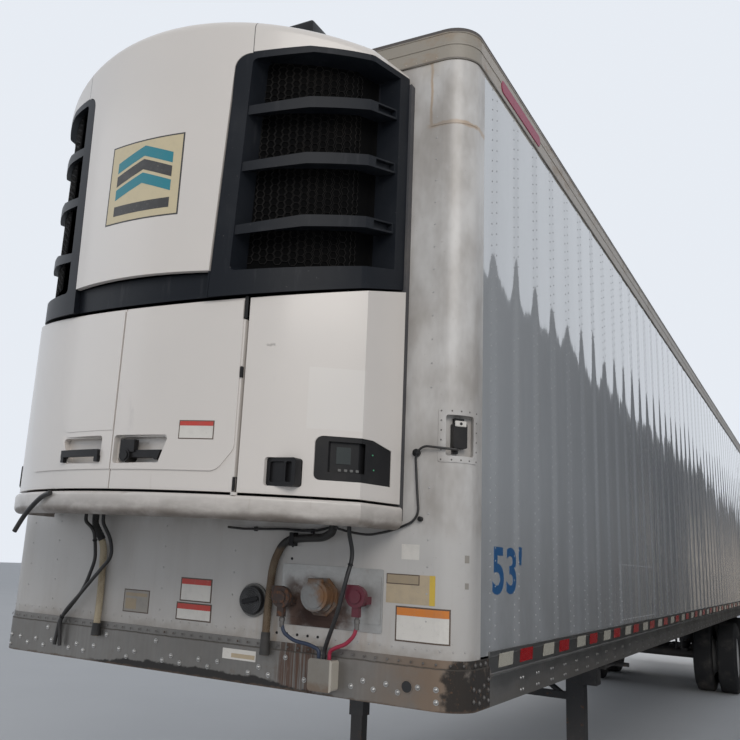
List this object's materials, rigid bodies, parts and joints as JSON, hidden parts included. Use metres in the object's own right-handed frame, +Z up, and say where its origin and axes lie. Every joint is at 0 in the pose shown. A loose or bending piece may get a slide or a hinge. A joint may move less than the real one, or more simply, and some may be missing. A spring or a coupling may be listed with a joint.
{
  "type": "refrigerated semi trailer",
  "caption": "Long refrigerated box semi trailer on landing gear, with a front-mounted refrigeration unit, hinged rear doors and a tandem bogie on twin wheels.",
  "frame": {"origin": "on the ground at the middle of the trailer's length and width", "axes": "+Y from the nose to the rear doors, +X towards the trailer's left (roadside), +Z up"},
  "size_m": [2.663, 16.88, 4.115],
  "materials": {
    "nose_skin": "white paint, slightly dirty",
    "side_skin": "glossy white sheet, rippled",
    "roof_skin": "mill aluminium sheet",
    "duct_floor": "extruded aluminium, worn",
    "base_aluminium": "brushed aluminium with rust stains",
    "rail_aluminium": "extruded aluminium, satin",
    "stainless_frame": "brushed stainless steel",
    "door_skin": "white paint",
    "galvanised_steel": "galvanised",
    "chassis_paint": "black chassis paint, dusty",
    "tank_aluminium": "polished aluminium",
    "flap_rubber": "plain black rubber",
    "lamp_red": "red lens",
    "panel_aluminium": "brushed aluminium sheet",
    "socket_casting": "rusty casting",
    "glad_hand_casting": "worn paint on cast aluminium",
    "black_plastic": "black plastic",
    "unit_white": "warm white moulded panel",
    "unit_frame_steel": "dark painted steel",
    "engine_iron": "painted iron",
    "surround_black": "dark moulded plastic, satin",
    "screen_black": "black perforated screen",
    "red_hose": "air hose rubber",
    "black_cable": "black rubber",
    "drain_rubber": "aged brown rubber",
    "tyre_rubber": "tyre rubber, dusty",
    "rim_steel": "silver painted steel"
  },
  "bodies": {
    "trailer": {"nose_wall": "nose_skin", "side_wall_left": "side_skin", "side_wall_right": "side_skin", "roof": "roof_skin", "floor": "duct_floor", "base_plate": "base_aluminium", "bottom_rails": "rail_aluminium", "top_rail_left": "rail_aluminium", "top_rail_right": "rail_aluminium", "nose_top_rail": "rail_aluminium", "rear_frame": "stainless_frame", "underride_guard": "chassis_paint", "coupler": "chassis_paint", "crossmembers": "rail_aluminium", "bogie_frame": "chassis_paint", "suspension": "chassis_paint", "axles": "chassis_paint", "landing_legs": "chassis_paint", "landing_brace": "chassis_paint", "fuel_tank": "tank_aluminium", "mud_flaps": "flap_rubber", "lamps": "lamp_red", "nose_panel": "panel_aluminium", "electrical_socket": "socket_casting", "glad_hands": "glad_hand_casting", "junction_box": "panel_aluminium", "sensor_frame": "nose_skin", "sensor_cable": "black_cable", "permit_cap": "black_plastic", "corner_sensor": "black_plastic", "unit_base_pan": "unit_white", "unit_back_frame": "unit_frame_steel", "unit_engine": "engine_iron", "unit_side_panel": "unit_white", "unit_controls": "black_plastic", "unit_grille_left": "surround_black", "unit_grille_right": "surround_black", "unit_mesh_screens": "screen_black", "unit_centre_panel": "unit_white", "unit_top_cap": "unit_white", "air_hoses": "red_hose", "black_cables": "black_cable", "drain_hoses": "drain_rubber", "loose_strip": "black_cable"},
    "cargo_door_left_body": {"cargo_door_left": "door_skin", "lock_rods_left": "galvanised_steel"},
    "cargo_door_right_body": {"cargo_door_right": "door_skin", "lock_rods_right": "galvanised_steel"},
    "unit_door_left_body": {"unit_door_left": "unit_white"},
    "unit_door_centre_body": {"unit_door_centre": "unit_white", "unit_door_handle": "black_plastic"},
    "wheels_front_left": {"tyres_front_left": "tyre_rubber", "rims_front_left": "rim_steel"},
    "wheels_front_right": {"tyres_front_right": "tyre_rubber", "rims_front_right": "rim_steel"},
    "wheels_rear_left": {"tyres_rear_left": "tyre_rubber", "rims_rear_left": "rim_steel"},
    "wheels_rear_right": {"tyres_rear_right": "tyre_rubber", "rims_rear_right": "rim_steel"}
  },
  "joints": [
    {"name": "cargo_door_left_hinge", "type": "hinge", "parent": "trailer", "child": "cargo_door_left_body", "pos_m": [1.3175, 8.426, 2.7], "axis": [0, 0, -1], "range_deg": [0, 265]},
    {"name": "cargo_door_right_hinge", "type": "hinge", "parent": "trailer", "child": "cargo_door_right_body", "pos_m": [-1.3175, 8.426, 2.7], "axis": [0, 0, 1], "range_deg": [0, 265]},
    {"name": "unit_door_left_hinge", "type": "hinge", "parent": "trailer", "child": "unit_door_left_body", "pos_m": [-1.016, -7.797, 2.3], "axis": [0, 0, -1], "range_deg": [0, 110]},
    {"name": "unit_door_centre_hinge", "type": "hinge", "parent": "trailer", "child": "unit_door_centre_body", "pos_m": [0.536, -8.299, 2.3], "axis": [0, 0, 1], "range_deg": [0, 110]},
    {"name": "wheels_front_left_spin", "type": "hinge", "parent": "trailer", "child": "wheels_front_left", "pos_m": [0.984, 4.125, 0.51], "axis": [1, 0, 0], "continuous": true},
    {"name": "wheels_front_right_spin", "type": "hinge", "parent": "trailer", "child": "wheels_front_right", "pos_m": [-0.984, 4.125, 0.51], "axis": [1, 0, 0], "continuous": true},
    {"name": "wheels_rear_left_spin", "type": "hinge", "parent": "trailer", "child": "wheels_rear_left", "pos_m": [0.984, 5.37, 0.51], "axis": [1, 0, 0], "continuous": true},
    {"name": "wheels_rear_right_spin", "type": "hinge", "parent": "trailer", "child": "wheels_rear_right", "pos_m": [-0.984, 5.37, 0.51], "axis": [1, 0, 0], "continuous": true}
  ]
}
